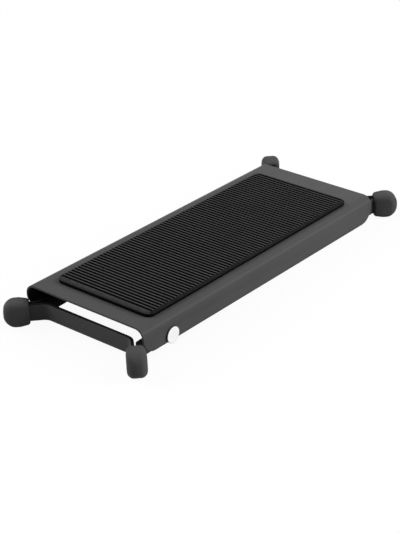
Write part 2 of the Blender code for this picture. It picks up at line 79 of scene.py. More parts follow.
# How closely places and directions are compared, and from which angle an edge is sharp.
TOLERANCE = 0.0002
FINE_TOLERANCE = TOLERANCE / 2
WELD = 0.00001
FACING = 0.9
SQUARE_ON = 0.99
SMOOTH_ANGLE = math.radians(32)

# The straps' ears run at 45 degrees, so their places are worked out along a square's diagonal.
EAR_TURN = math.radians(45)
DIAGONAL = math.sqrt(2)

QUARTER_TURN = math.radians(90)
HALF_TURN = math.radians(180)
AXIS_X = (1, 0, 0)
AXIS_Z = (0, 0, 1)
UNMOVED = Matrix()

# Points round a bored hole and round a rivet.
BORE_STEPS = 48
TURN_STEPS = 64

# Places of the Mix node's share, first input, second input and result, whose names repeat.
MIX_PLACES = {"FLOAT": (0, 2, 3, 0), "RGBA": (0, 6, 7, 2)}

# Which stretch of the noise, and of a normal's upward share, the node groups carry over to 0 to 1.
PATCH_RANGE = (0.3, 0.7)
UPWARD_RANGE = (0.5, 1.0)
SPECK_RANGE = (0.45, 0.75)
SPECK_SCALE = 700.0


class Carrier(Enum):
    """The three bodies that move against each other."""

    PLATE = "plate"
    OUTER_LEG = "outer_leg"
    INNER_LEG = "inner_leg"


class Slot(Enum):
    """The record's material slots."""

    PAINTED_STEEL = "painted_steel"
    TREAD_RUBBER = "tread_rubber"
    FOOT_RUBBER = "foot_rubber"
    RIVET_STEEL = "rivet_steel"
    ZINC_PLATE = "zinc_plate"


class Direction(Enum):
    """A choice between two opposite directions, whose value is its sign."""

    @property
    def word(self) -> str:
        """The direction as it stands in a node's name."""
        return self.name.lower()


class Side(Direction):
    """Left and right of the footrest, seen along +X."""

    LEFT = 1
    RIGHT = -1


class End(Direction):
    """The end of the footrest that a leg's ears point to."""

    FAR = 1
    NEAR = -1


class Element(Enum):
    """What an edit-mode selection picks."""

    VERTEX = "VERT"
    EDGE = "EDGE"
    FACE = "FACE"


class WallSide(IntEnum):
    """Where the wall of a sheet grows, as Solidify counts it."""

    BEHIND = -1
    CENTRED = 0


class Coat(IntEnum):
    """Material slots of the coated steel."""

    OUTSIDE = 0
    # The inner faces and the straps' cut edges: painted shade.
    INSIDE = 1
    # A narrow strip of the folds: painted highlight.
    RUBBED = 2


class Tread(IntEnum):
    """Material slots of the mat."""

    RIBS = 0
    # The grooves and the foot of the sides: painted shade.
    SHADE = 1
    # The border slopes and the sides: darker painted shade.
    BORDER = 2
    ENDS = 3


class Rivet(IntEnum):
    """Material slots of a rivet."""

    DOME = 0
    # The rim, shank and tail: painted shade.
    BACK = 1


def deselect_all() -> None:
    """Leave edit mode and clear the object selection."""
    if bpy.context.object is not None and bpy.context.object.mode != "OBJECT":
        bpy.ops.object.mode_set(mode="OBJECT")
    bpy.ops.object.select_all(action="DESELECT")


def make_active(piece: Piece) -> None:
    """Select one piece alone and make it the active one.

    Args:
        piece: the piece to work on.
    """
    deselect_all()
    piece.select_set(True)
    bpy.context.view_layer.objects.active = piece


class Workpiece:
    """A mesh that is shaped by edit-mode operators, as by hand."""

    def __init__(self, name: str) -> None:
        """Name the active new primitive and open it in edit mode, all selected.

        Args:
            name: the finished piece's name.
        """
        self.piece: Piece = bpy.context.active_object
        self.piece.name = name
        self.piece.data.name = name
        make_active(self.piece)
        bpy.ops.object.mode_set(mode="EDIT")
        self.pick_all()

    @classmethod
    def block(cls, name: str, size: Triple, centre: Triple) -> Workpiece:
        """Start from a box.

        Args:
            name: the piece's name.
            size: lengths along the three axes.
            centre: the middle of the box.

        Returns:
            The open workpiece.
        """
        deselect_all()
        bpy.ops.mesh.primitive_cube_add(size=1)
        work = cls(name)
        bpy.ops.transform.resize(value=size)
        bpy.ops.transform.translate(value=centre)
        return work

    @classmethod
    def sheet(cls, name: str, size: Sequence[float], centre: Triple, tip: float = 0) -> Workpiece:
        """Start from a flat sheet.

        Args:
            name: the piece's name.
            size: its length along X, and its breadth.
            centre: the middle of the sheet.
            tip: how far it is tipped up about its long axis.

        Returns:
            The open workpiece.
        """
        deselect_all()
        bpy.ops.mesh.primitive_plane_add(size=1, rotation=(tip, 0, 0))
        bpy.ops.object.transform_apply(location=False, rotation=True, scale=False)
        work = cls(name)
        length, breadth = size
        bpy.ops.transform.resize(value=(length, breadth, breadth))
        bpy.ops.transform.translate(value=centre)
        return work

    @classmethod
    def disc(cls, name: str, radius: float, height: float) -> Workpiece:
        """Start from a filled circle round the Z axis.

        Args:
            name: the piece's name.
            radius: the circle's radius.
            height: its place along Z.

        Returns:
            The open workpiece.
        """
        deselect_all()
        bpy.ops.mesh.primitive_circle_add(vertices=TURN_STEPS, radius=radius, fill_type="NGON")
        work = cls(name)
        bpy.ops.transform.translate(value=(0, 0, height))
        return work

    def shape(self) -> bmesh.types.BMesh:
        """The mesh that is open in edit mode."""
        return bmesh.from_edit_mesh(self.piece.data)

    def pick_all(self) -> None:
        """Select everything."""
        bpy.ops.mesh.select_all(action="SELECT")

    def pick(self, element: Element, test: Callable[..., bool]) -> None:
        """Select the elements that a test passes, and nothing else.

        Args:
            element: vertices, edges or faces.
            test: says of one element whether it is picked.
        """
        bpy.ops.mesh.select_mode(type=element.value)
        bpy.ops.mesh.select_all(action="DESELECT")
        shape = self.shape()
        items = {Element.VERTEX: shape.verts, Element.EDGE: shape.edges, Element.FACE: shape.faces}
        for item in items[element]:
            if test(item):
                item.select_set(True)
        shape.select_flush_mode()
        bmesh.update_edit_mesh(self.piece.data)

    def give_slots(self, choose: Callable[[Face], int]) -> None:
        """Give every face its material slot.

        Args:
            choose: names the slot of one face.
        """
        for face in self.shape().faces:
            face.material_index = choose(face)
        bmesh.update_edit_mesh(self.piece.data)

    def push(self, offset: Triple) -> None:
        """Extrude the selection by an offset."""
        bpy.ops.mesh.extrude_region_move(TRANSFORM_OT_translate={"value": tuple(offset)})

    def swing(self, centre: Triple, axis: Triple, angle: float, steps: int) -> None:
        """Spin the selection round an axis through a centre, by the right-hand rule."""
        bpy.ops.mesh.spin(steps=steps, angle=-angle, center=tuple(centre), axis=tuple(axis))

    def score(self, place: Triple, axis: Triple) -> None:
        """Cut the selected faces along a plane square to an axis, and keep both sides."""
        bpy.ops.mesh.bisect(plane_co=place, plane_no=axis)

    def inset(self, width: float, rise: float, each: bool = False) -> None:
        """Draw the selected faces in and raise them, each face alone or all together."""
        bpy.ops.mesh.inset(thickness=width, depth=rise, use_individual=each)

    def round_off(self, radius: float, segments: int, points: bool = False) -> None:
        """Round the selected edges, or the selected points in the plane of their sheet."""
        affect = "VERTICES" if points else "EDGES"
        bpy.ops.mesh.bevel(offset=radius, segments=segments, profile=0.5, affect=affect)

    def close(self) -> Piece:
        """Leave edit mode and give back the piece."""
        bpy.ops.object.mode_set(mode="OBJECT")
        return self.piece


def tidy_shell(piece: Piece) -> None:
    """Weld doubled points and turn all faces outwards.

    Args:
        piece: a closed piece, or an open sheet before it gets its thickness.
    """
    make_active(piece)
    bpy.ops.object.mode_set(mode="EDIT")
    bpy.ops.mesh.select_all(action="SELECT")
    bpy.ops.mesh.remove_doubles(threshold=WELD)
    bpy.ops.mesh.normals_make_consistent(inside=False)
    bpy.ops.object.mode_set(mode="OBJECT")


def face_outwards(sheet: Piece, axis: int, rank: Callable[[bpy.types.MeshPolygon], float]) -> None:
    """Flip an open sheet if its highest ranked face looks back along an axis.

    Args:
        sheet: the sheet before it gets its thickness.
        axis: the axis, counted from 0.
        rank: ranks one face.
    """
    highest = max(sheet.data.polygons, key=rank)
    if highest.normal[axis] < 0:
        sheet.data.flip_normals()


def modify(piece: Piece, kind: str, **settings: object) -> None:
    """Add a modifier and apply it.

    Args:
        piece: the piece.
        kind: the modifier's type.
        settings: the modifier's settings by name.
    """
    modifier = piece.modifiers.new(kind, kind)
    for name, value in settings.items():
        setattr(modifier, name, value)
    make_active(piece)
    bpy.ops.object.modifier_apply(modifier=modifier.name)


def mirror_half(half: Piece) -> None:
    """Complete a half on the +Y side across the footrest's middle plane, and weld it there."""
    modify(half, "MIRROR", use_axis=(False, True, False), merge_threshold=WELD, use_clip=True)
    tidy_shell(half)


def give_wall(sheet: Piece, thickness: float, side: WallSide, rim: Coat) -> None:
    """Give a coated sheet its wall.

    Args:
        sheet: the sheet.
        thickness: the wall.
        side: where the wall grows.
        rim: how many slots the cut edges lie behind the face that they end.
    """
    # The inner faces take the next slot, whose coat is painted shade.
    slots = {"material_offset": Coat.INSIDE, "material_offset_rim": rim}
    modify(sheet, "SOLIDIFY", thickness=thickness, offset=side, use_even_offset=True, **slots)


def round_edges(piece: Piece, radius: float, segments: int) -> None:
    """Round every sharp edge a little, with so many segments in each arc."""
    sharp = {"limit_method": "ANGLE", "angle_limit": SMOOTH_ANGLE, "use_clamp_overlap": False}
    modify(piece, "BEVEL", width=radius, segments=segments, **sharp)


def cut_out(piece: Piece, cutter: Piece) -> None:
    """Cut a closed shape out of a piece, and remove the cutter."""
    modify(piece, "BOOLEAN", operation="DIFFERENCE", solver="EXACT", object=cutter)
    bpy.data.objects.remove(cutter, do_unlink=True)


def bore_across(piece: Piece, radius: float, place: Triple, reach: float) -> None:
    """Bore a crosswise hole through a piece.

    Args:
        piece: the piece.
        radius: the hole's radius.
        place: a point on the hole's axis, in the piece's own frame.
        reach: half the length of the drill.
    """
    deselect_all()
    bpy.ops.mesh.primitive_cylinder_add(
        vertices=BORE_STEPS,
        radius=radius,
        depth=2 * reach,
        location=place,
        rotation=(QUARTER_TURN, 0, 0),
    )
    cut_out(piece, bpy.context.active_object)


class NodeBench:
    """Adds nodes to one tree and feeds them."""

    def __init__(self, tree: bpy.types.NodeTree) -> None:
        """Keep the tree of a material, a world or a group."""
        self.tree = tree

    def feed(self, node: bpy.types.Node, inputs: Inputs) -> None:
        """Feed a node's inputs.

        Args:
            node: the node.
            inputs: an input's name or place, to a socket that is linked or a value that is set.
        """
        for key, value in inputs.items():
            if isinstance(value, Socket):
                self.tree.links.new(value, node.inputs[key])
            else:
                node.inputs[key].default_value = value

    def add(
        self, kind: str, result: Union[str, int], inputs: Optional[Inputs] = None, **settings: object
    ) -> Socket:
        """Add a shader node.

        Args:
            kind: its type, such as TexNoise.
            result: which of its outputs is wanted.
            inputs: what feeds it.
            settings: its own settings, such as a Math node's operation.

        Returns:
            The wanted output.
        """
        node = self.tree.nodes.new(f"ShaderNode{kind}")
        for name, value in settings.items():
            setattr(node, name, value)
        self.feed(node, inputs or {})
        return node.outputs[result]

    def reckon(self, operation: str, first: Feed, second: Feed) -> Socket:
        """The outcome of a Math node's operation on two values."""
        return self.add("Math", "Value", {0: first, 1: second}, operation=operation)

    def remap(self, value: Feed, source: Sequence[Feed], target: Sequence[Feed] = (0.0, 1.0)) -> Socket:
        """Carry a value over from one range to another.

        Args:
            value: the value.
            source: the least and greatest value that count.
            target: what these become.

        Returns:
            The new value.
        """
        inputs = {"Value": value, "From Min": source[0], "From Max": source[1]}
        inputs.update({"To Min": target[0], "To Max": target[1]})
        return self.add("MapRange", "Result", inputs)

    def mix(self, kind: str, share: Feed, first: Feed, second: Feed) -> Socket:
        """Mix two values or colours.

        Args:
            kind: FLOAT for values, RGBA for colours.
            share: how much of the second one counts.
            first: the first one.
            second: the second one.

        Returns:
            The mixture.
        """
        share_place, first_place, second_place, result = MIX_PLACES[kind]
        inputs = {share_place: share, first_place: first, second_place: second}
        return self.add("Mix", result, inputs, data_type=kind)


class SurfaceGroups:
    """Node groups that more than one finish uses."""

    def __init__(self) -> None:
        """Build each group once."""
        grain_inputs = {"Grain Scale": 1000.0, "Pits": 0.3}
        mottle_inputs = {"Patch Scale": 20.0, "Low": 0.0, "High": 1.0}
        dust_inputs = {"Normal": None, "Amount": 0.1}
        self.grain = self._group("moulded_grain", grain_inputs, "Height", self._grain)
        self.mottle = self._group("broad_mottle", mottle_inputs, "Value", self._mottle)
        self.dust = self._group("settled_dust", dust_inputs, "Mask", self._dust)

    @staticmethod
    def _group(
        name: str, inputs: dict[str, Optional[float]], result: str, fill: Callable[..., Socket]
    ) -> bpy.types.NodeTree:
        """Build a group that works on a place in space.

        Args:
            name: the group's name.
            inputs: name and default of each further input, with None for a vector.
            result: the output's name.
            fill: adds the group's nodes and gives back what it puts out.

        Returns:
            The group's tree.
        """
        tree = bpy.data.node_groups.new(name, "ShaderNodeTree")
        for socket_name, default in {"Vector": None, **inputs}.items():
            kind = "NodeSocketVector" if default is None else "NodeSocketFloat"
            socket = tree.interface.new_socket(socket_name, in_out="INPUT", socket_type=kind)
            if default is not None:
                socket.default_value = default
        tree.interface.new_socket(result, in_out="OUTPUT", socket_type="NodeSocketFloat")
        bench = NodeBench(tree)
        value = fill(bench, tree.nodes.new("NodeGroupInput").outputs)
        bench.feed(tree.nodes.new("NodeGroupOutput"), {result: value})
        return tree

    @staticmethod
    def _grain(bench: NodeBench, source: bpy.types.NodeOutputs) -> Socket:
        """The pebbled grain of powder coat or moulded rubber, as a height.

        Args:
            bench: the group's bench.
            source: the group's inputs.

        Returns:
            The height.
        """
        place = {"Vector": source["Vector"], "Scale": source["Grain Scale"]}
        pebbles = bench.add("TexNoise", "Fac", {**place, "Detail": 3.0, "Roughness": 0.55})
        pits = bench.add("TexVoronoi", "Distance", place, feature="F1")
        return bench.mix("FLOAT", source["Pits"], pebbles, pits)

    @staticmethod
    def _mottle(bench: NodeBench, source: bpy.types.NodeOutputs) -> Socket:
        """Broad uneven patches between two values.

        Args:
            bench: the group's bench.
            source: the group's inputs.

        Returns:
            The value.
        """
        place = {"Vector": source["Vector"], "Scale": source["Patch Scale"]}
        patches = bench.add("TexNoise", "Fac", {**place, "Detail": 5.0, "Roughness": 0.6})
        return bench.remap(patches, PATCH_RANGE, (source["Low"], source["High"]))

    @staticmethod
    def _dust(bench: NodeBench, source: bpy.types.NodeOutputs) -> Socket:
        """A thin film of dust on faces that look up.

        Args:
            bench: the group's bench.
            source: the group's inputs.

        Returns:
            The dust's mask.
        """
        upward = bench.add("SeparateXYZ", "Z", {"Vector": source["Normal"]})
        place = {"Vector": source["Vector"], "Scale": SPECK_SCALE}
        specks = bench.add("TexNoise", "Fac", {**place, "Detail": 4.0})
        settled, shown = bench.remap(upward, UPWARD_RANGE), bench.remap(specks, SPECK_RANGE)
        return bench.reckon("MULTIPLY", bench.reckon("MULTIPLY", settled, shown), source["Amount"])


@dataclass(frozen=True)
class Finish:
    """One surface finish: its colours, gloss, grain and dust.

    Attributes:
        color, other_color: the two colours that its broad patches pass between.
        gloss_ratio: how much finer the patches of gloss are than those of colour.
        stretch: scales the pattern's places, so under 1 draws it out along that axis.
    """

    name: str
    slot: Slot
    color: Color
    other_color: Color
    roughness: tuple[float, float]
    metallic: float = 0.0
    specular: float = 0.5
    grain_scale: float = 1500.0
    grain_pits: float = 0.3
    grain_height: float = 0.00002
    patch_scale: float = 18.0
    gloss_ratio: float = 3.0
    stretch: tuple[float, float, float] = (1.0, 1.0, 1.0)
    dust_amount: float = 0.0
    dust_color: Color = (0.35, 0.34, 0.32)

    def material(self, groups: SurfaceGroups) -> bpy.types.Material:
        """Build the material.

        Args:
            groups: the shared node groups.

        Returns:
            The new material.
        """
        material = bpy.data.materials.new(self.name)
        material.use_nodes = True
        bench = NodeBench(material.node_tree)
        place = bench.add("TexCoord", "Object")
        pattern = bench.add("Mapping", "Vector", {"Vector": place, "Scale": self.stretch})

        patches = {"Vector": pattern, "Patch Scale": self.patch_scale}
        tint = bench.add("Group", "Value", patches, node_tree=groups.mottle)
        color = bench.mix("RGBA", tint, (*self.color, 1), (*self.other_color, 1))
        normal = bench.add("NewGeometry", "Normal")
        settled = {"Vector": place, "Normal": normal, "Amount": self.dust_amount}
        film = bench.add("Group", "Mask", settled, node_tree=groups.dust)

        low, high = self.roughness
        fine_scale = self.patch_scale * self.gloss_ratio
        sheen = {"Vector": pattern, "Patch Scale": fine_scale, "Low": low, "High": high}
        grain = {"Vector": pattern, "Grain Scale": self.grain_scale, "Pits": self.grain_pits}
        height = bench.add("Group", "Height", grain, node_tree=groups.grain)
        shader = {
            "Base Color": bench.mix("RGBA", film, color, (*self.dust_color, 1)),
            "Metallic": self.metallic,
            "Specular IOR Level": self.specular,
            "Roughness": bench.add("Group", "Value", sheen, node_tree=groups.mottle),
            "Normal": bench.add("Bump", "Normal", {"Height": height, "Distance": self.grain_height}),
        }
        bench.feed(material.node_tree.nodes["Principled BSDF"], shader)
        return material


# The plate and the straps: the coat outside, painted shade (a near-black coat) inside and on the
# straps' cut edges, and a lighter strip along the plate's folds, which is a painted highlight.
POWDER_COAT = Finish(
    name="black_powder_coat",
    slot=Slot.PAINTED_STEEL,
    color=(0.077, 0.077, 0.078),
    other_color=(0.083, 0.083, 0.084),
    roughness=(0.46, 0.54),
    specular=0.04,
    grain_scale=1900.0,
    grain_pits=0.25,
    grain_height=0.00003,
    dust_amount=0.03,
)
# Painted shade: a near-black coat on the inner faces and cut edges, where the steel lies in shade.
INNER_SHADE_COAT = replace(
    POWDER_COAT,
    name="inner_powder_coat",
    color=(0.010, 0.010, 0.010),
    other_color=(0.014, 0.014, 0.014),
    roughness=(0.78, 0.88),
)
# Painted highlight: a lighter coat on the strip of the folds where the lamps' glint falls.
FOLD_HIGHLIGHT_COAT = replace(
    POWDER_COAT,
    name="rubbed_powder_coat",
    color=(0.092, 0.092, 0.093),
    other_color=(0.098, 0.098, 0.099),
)

# The mat: worn rib tops, painted shade in the grooves and on the border and sides, and the streaky
# ends.
TREAD_RUBBER = Finish(
    name="tread_rubber_black",
    slot=Slot.TREAD_RUBBER,
    color=(0.053, 0.054, 0.054),
    other_color=(0.062, 0.063, 0.063),
    roughness=(0.66, 0.80),
    specular=0.04,
    grain_scale=2600.0,
    grain_pits=0.4,
    grain_height=0.00003,
    patch_scale=30.0,
    dust_amount=0.06,
)
# Painted shade: near-black rubber in the grooves and at the foot of the sides.
GROOVE_PAINTED_SHADE = replace(
    TREAD_RUBBER,
    name="tread_groove_painted_shade",
    color=(0.001, 0.001, 0.001),
    other_color=(0.002, 0.002, 0.002),
    roughness=(0.84, 0.92),
    specular=0.02,
    dust_amount=0.0,
)
# Painted shade: a darker rubber on the border slopes and the sides.
BORDER_PAINTED_SHADE = replace(
    TREAD_RUBBER,
    name="tread_border_painted_shade",
    color=(0.008, 0.008, 0.008),
    other_color=(0.012, 0.012, 0.012),
)
END_RUBBER = replace(
    TREAD_RUBBER,
    name="tread_end_rubber",
    color=(0.026, 0.027, 0.027),
    other_color=(0.046, 0.047, 0.047),
    patch_scale=900.0,
    stretch=(0.08, 1.0, 1.0),
)

CAP_RUBBER = Finish(
    name="foot_cap_rubber",
    slot=Slot.FOOT_RUBBER,
    color=(0.070, 0.070, 0.071),
    other_color=(0.079, 0.079, 0.080),
    roughness=(0.50, 0.62),
    specular=0.04,
    grain_scale=2200.0,
    grain_pits=0.35,
    patch_scale=60.0,
    dust_amount=0.03,
)

# The rivets' bright domes and their backs dark as painted shade, and the zinc of the small parts.
BRIGHT_RIVET = Finish(
    name="bright_rivet",
    slot=Slot.RIVET_STEEL,
    color=(0.95, 0.95, 0.94),
    other_color=(0.91, 0.91, 0.90),
    roughness=(0.30, 0.42),
    metallic=1.0,
    grain_scale=900.0,
    grain_pits=0.2,
    grain_height=0.000015,
    patch_scale=150.0,
)
# Painted shade: near-black metal on the rim under the dome, for the dark line of shade round the head.
RIVET_BACK_PAINTED_SHADE = replace(
    BRIGHT_RIVET,
    name="rivet_back_painted_shade",
    color=(0.05, 0.05, 0.05),
    other_color=(0.08, 0.08, 0.08),
    roughness=(0.55, 0.70),
)
ZINC_PLATE = Finish(
    name="zinc_plate_grey",
    slot=Slot.ZINC_PLATE,
    color=(0.62, 0.62, 0.60),
    other_color=(0.52, 0.52, 0.51),
    roughness=(0.32, 0.48),
    metallic=1.0,
    grain_scale=1400.0,
    grain_pits=0.5,
    grain_height=0.00001,
    patch_scale=90.0,
)


@dataclass
class Linkage:
    """Where the plate and the two legs sit when the footrest is folded flat.

    Attributes:
        pivot_inset: from the plate's near end to the pivot.
        pivot_height, bar_height: from the flanges' lower edge to the pivot and the notch bar.
        upper_arm: from the pivot to the crossing, and from there to the notch bar.
    """

    pivot: Vector
    crossing: Vector
    pivot_inset: float = 0.0266
    pivot_height: float = 0.00433
    bar_height: float = 0.0100
    upper_arm: float = field(init=False)
    leg_angle: float = field(init=False)
    plate_tilt: float = field(init=False)

    def __post_init__(self) -> None:
        """Work out the arms and the angles from the two joints."""
        drop = self.pivot - self.crossing
        self.upper_arm = drop.length
        self.leg_angle = math.asin(drop.z / drop.length)
        bar_reach = 2 * self.upper_arm * math.cos(self.leg_angle)
        self.plate_tilt = math.asin((self.bar_height - self.pivot_height) / bar_reach)

    @property
    def plate_middle(self) -> Vector:
        """The plate's middle at its flanges' lower edge, from the pivot, in the plate's frame."""
        return Vector((PLATE_LENGTH / 2 - self.pivot_inset, 0, -self.pivot_height))

    def frame(self, carrier: Carrier) -> Matrix:
        """The carrier's own frame in the footrest's frame.

        Args:
            carrier: plate, outer leg or inner leg.

        Returns:
            Its placing matrix.
        """
        pitches = {
            Carrier.PLATE: self.plate_tilt,
            Carrier.OUTER_LEG: self.leg_angle,
            Carrier.INNER_LEG: -self.leg_angle,
        }
        origin = self.pivot if carrier is Carrier.PLATE else self.crossing
        placed = Matrix.Translation(origin) @ Matrix.Rotation(pitches[carrier], 4, "Y")
        if carrier is Carrier.PLATE:
            placed = placed @ Matrix.Translation(self.plate_middle)
        return placed


class Dresser:
    """Gives pieces their materials, places them and ties them to the frame."""

    def __init__(self, nodes: dict[str, Piece], linkage: Linkage) -> None:
        """Keep the frame's nodes and the placing of the carriers.

        Args:
            nodes: the frame's nodes by name.
            linkage: the placing of the carriers.
        """
        self.nodes = nodes
        self.linkage = linkage
        self.groups = SurfaceGroups()
        self.materials: dict[str, bpy.types.Material] = {}

    def wear(self, piece: Piece, *finishes: Finish) -> None:
        """Give a piece that wears none its finishes, each built when it is first worn.

        Args:
            piece: the piece.
            finishes: its finishes in the order of its slots.
        """
        for finish in finishes:
            if finish.name not in self.materials:
                self.materials[finish.name] = finish.material(self.groups)
            piece.data.materials.append(self.materials[finish.name])

    def place(
        self, piece: Piece, carrier: Carrier, finish: Finish, node: str, inner: Matrix = UNMOVED
    ) -> None:
        """Move a piece into the footrest's frame and let it stand for a node.

        Args:
            piece: the piece, modelled in its carrier's frame.
            carrier: the body it rides on.
            finish: its main finish; not used.
            node: the node it stands for.
            inner: its place inside the carrier's frame, when it was modelled about its own origin.
        """
        piece.data.transform(self.linkage.frame(carrier) @ inner)
        piece.data.update()
        make_active(piece)
        bpy.ops.object.shade_smooth_by_angle(angle=SMOOTH_ANGLE)
        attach(piece, carrier.value)
        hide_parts(node)
        log.info("%s stands for %s on %s", piece.name, node, carrier.value)

    def dress_node(self, node: str, finish: Finish) -> None:
        """Give a node that keeps its solid a finish.

        Args:
            node: the node's name.
            finish: the finish.
        """
        self.nodes[node].data.materials.clear()
        self.wear(self.nodes[node], finish)
        log.info("%s keeps its solid", node)


@dataclass
class TreadPlate:
    """The sheet steel plate with its long sides folded down.

    Attributes:
        corner_radius: the radius of the flanges' lower corners.
        rubbed_slant: how far the fold's painted highlight strip looks up, as the normal's upward share.
    """

    sheet: float = 0.0015
    fold_radius: float = 0.0070
    corner_radius: float = 0.0111
    edge_round: float = 0.0003
    bore_radius: float = 0.0032
    rubbed_slant: tuple[float, float] = (0.50, 0.61)
    fold_steps: int = 16
    corner_steps: int = 16
    edge_steps: int = 3

    def build(self, dresser: Dresser) -> None:
        """Model the plate and place it.

        Args:
            dresser: places and finishes the piece.
        """
        flat = PLATE_WIDTH / 2 - self.fold_radius
        work = Workpiece.sheet("plate_shell", (PLATE_LENGTH, flat), (0, flat / 2, PLATE_HEIGHT))
        work.pick(Element.EDGE, lambda edge: all(point.co.y > flat - TOLERANCE for point in edge.verts))
        work.swing((0, flat, PLATE_HEIGHT - self.fold_radius), AXIS_X, -QUARTER_TURN, self.fold_steps)
        work.push((0, 0, self.fold_radius - PLATE_HEIGHT))
        work.pick(Element.VERTEX, lambda point: point.co.z < TOLERANCE)
        work.round_off(self.corner_radius, self.corner_steps, points=True)
        # A narrow strip of the fold gets the painted highlight.
        work.give_slots(self._slot)
        shell = work.close()
        mirror_half(shell)
        face_outwards(shell, 2, lambda face: face.area * abs(face.normal.z))
        dresser.wear(shell, POWDER_COAT, INNER_SHADE_COAT, FOLD_HIGHLIGHT_COAT, INNER_SHADE_COAT)
        give_wall(shell, self.sheet, WallSide.BEHIND, Coat.OUTSIDE)
        round_edges(shell, self.edge_round, self.edge_steps)
        pivot = -dresser.linkage.plate_middle
        bore_across(shell, self.bore_radius, (pivot.x, 0, pivot.z), PLATE_WIDTH)
        dresser.place(shell, Carrier.PLATE, POWDER_COAT, "top_plate")

    def _slot(self, face: Face) -> Coat:
        """The slot of a face: a painted highlight in a narrow strip of the fold, else plain coat."""
        least, most = self.rubbed_slant
        return Coat.RUBBED if least < abs(face.normal.z) < most else Coat.OUTSIDE


@dataclass
class TreadMat:
    """The ribbed rubber tread with its sloping border.

    Attributes:
        border_width, border_rise: the slope from the sides up to the ribbed field.
        field_frame: the smooth frame of the field, which the grooves stop at.
        end_margin, rib_shift: what the ribs leave free at each end, and their shift to the far end.
        foot_height: the height up to which the sides carry painted shade.
        setback, sideways: how far the mat lies off the plate's middle, to the near end and right.
    """

    length: float = 0.2154
    width: float = 0.0805
    edge_height: float = 0.0023
    border_width: float = 0.0013
    border_rise: float = 0.00092
    field_frame: float = 0.00035
    end_margin: float = 0.00115
    rib_shift: float = 0.0006
    foot_round: float = 0.0003
    foot_height: float = 0.0014
    corner_radius: float = 0.0055
    setback: float = 0.0041
    sideways: float = 0.00365
    rib_count: int = 70
    groove_width: float = 0.00184
    groove_slope: float = 0.00022
    groove_depth: float = 0.0010
    edge_round: float = 0.00018
    corner_steps: int = 10
    foot_steps: int = 2
    edge_steps: int = 2

    @property
    def field_height(self) -> float:
        """The height of the ribs' tops."""
        return self.edge_height + self.border_rise

    def build(self, dresser: Dresser) -> None:
        """Model the mat and place it.

        Args:
            dresser: places and finishes the piece.
        """
        size = (self.length, self.width, self.edge_height)
        work = Workpiece.block("tread_ribs", size, (0, 0, self.edge_height / 2))
        work.pick(Element.EDGE, self._is_upright)
        work.round_off(self.corner_radius, self.corner_steps)
        work.pick(Element.EDGE, lambda edge: all(point.co.z < TOLERANCE for point in edge.verts))
        work.round_off(self.foot_round, self.foot_steps)
        work.pick_all()
        work.score((0, 0, self.foot_height), AXIS_Z)
        work.pick(Element.FACE, lambda face: face.normal.z > FACING)
        work.inset(self.border_width, self.border_rise)
        work.inset(self.field_frame, 0)
        self._score_ribs(work)
        work.pick(Element.FACE, self._is_groove)
        work.inset(self.groove_slope, -self.groove_depth, each=True)
        work.give_slots(self._slot)
        mat = work.close()
        tidy_shell(mat)
        dresser.wear(mat, TREAD_RUBBER, GROOVE_PAINTED_SHADE, BORDER_PAINTED_SHADE, END_RUBBER)
        round_edges(mat, self.edge_round, self.edge_steps)
        place = Matrix.Translation((-self.setback, -self.sideways, PLATE_HEIGHT + SEAT_GAP))
        dresser.place(mat, Carrier.PLATE, TREAD_RUBBER, "tread_mat", place)

    def _groove_centre(self, index: int) -> float:
        """Where the middle of a groove, counted from 1, lies along the mat."""
        zone = self.length - 2 * self.end_margin
        return (index / self.rib_count - 0.5) * zone + self.rib_shift

    def _is_ribbed(self, place: float, margin: float) -> bool:
        """Whether a place lies between the first and the last groove, give or take a margin."""
        first, last = self._groove_centre(1), self._groove_centre(self.rib_count - 1)
        return first - margin < place < last + margin

    def _score_ribs(self, work: Workpiece) -> None:
        """Cut the field's face crosswise at both sides of every groove.

        Args:
            work: the open mat.
        """
        least_height = self.field_height - FINE_TOLERANCE
        for index in range(1, self.rib_count):
            for side in (-1, 1):
                cut = self._groove_centre(index) + side * self.groove_width / 2
                work.pick(
                    Element.FACE,
                    lambda face: face.calc_center_median().z > least_height
                    and min(point.co.x for point in face.verts) < cut
                    and max(point.co.x for point in face.verts) > cut,
                )
                work.score((cut, 0, 0), AXIS_X)

    def _is_groove(self, face: Face) -> bool:
        """Whether a face of the field is one of the grooves.

        Args:
            face: the face to test.

        Returns:
            True for a groove.
        """
        middle = face.calc_center_bounds()
        on_top = face.normal.z > FACING and middle.z > self.field_height - FINE_TOLERANCE
        if not on_top or abs(middle.y) > TOLERANCE:
            return False
        centres = (self._groove_centre(index) for index in range(1, self.rib_count))
        return any(abs(middle.x - centre) < self.groove_width / 4 for centre in centres)

    def _slot(self, face: Face) -> Tread:
        """The slot of a face.

        The grooves and the foot of the sides carry painted shade, as light hardly reaches them. The
        slopes along the long edges and all sides are smooth and carry a darker painted shade, and the
        ends lie before the first and last groove.

        Args:
            face: the face.

        Returns:
            Its slot.
        """
        middle = face.calc_center_bounds()
        aside = abs(middle.y)
        slope_foot = self.width / 2 - self.border_width
        groove_floor = self.field_height - self.groove_depth
        is_sunk = groove_floor - TOLERANCE < middle.z < self.field_height - TOLERANCE
        in_groove = is_sunk and aside <= slope_foot and self._is_ribbed(middle.x, self.groove_width / 2)
        if in_groove or middle.z < self.foot_height:
            return Tread.SHADE
        if aside > slope_foot - self.field_frame or middle.z < self.edge_height - TOLERANCE:
            return Tread.BORDER
        return Tread.RIBS if self._is_ribbed(middle.x, 0) else Tread.ENDS

    @staticmethod
    def _is_upright(edge: Edge) -> bool:
        """Whether an edge stands upright."""
        run = edge.verts[0].co - edge.verts[1].co
        return abs(run.z) > abs(run.x) + abs(run.y)


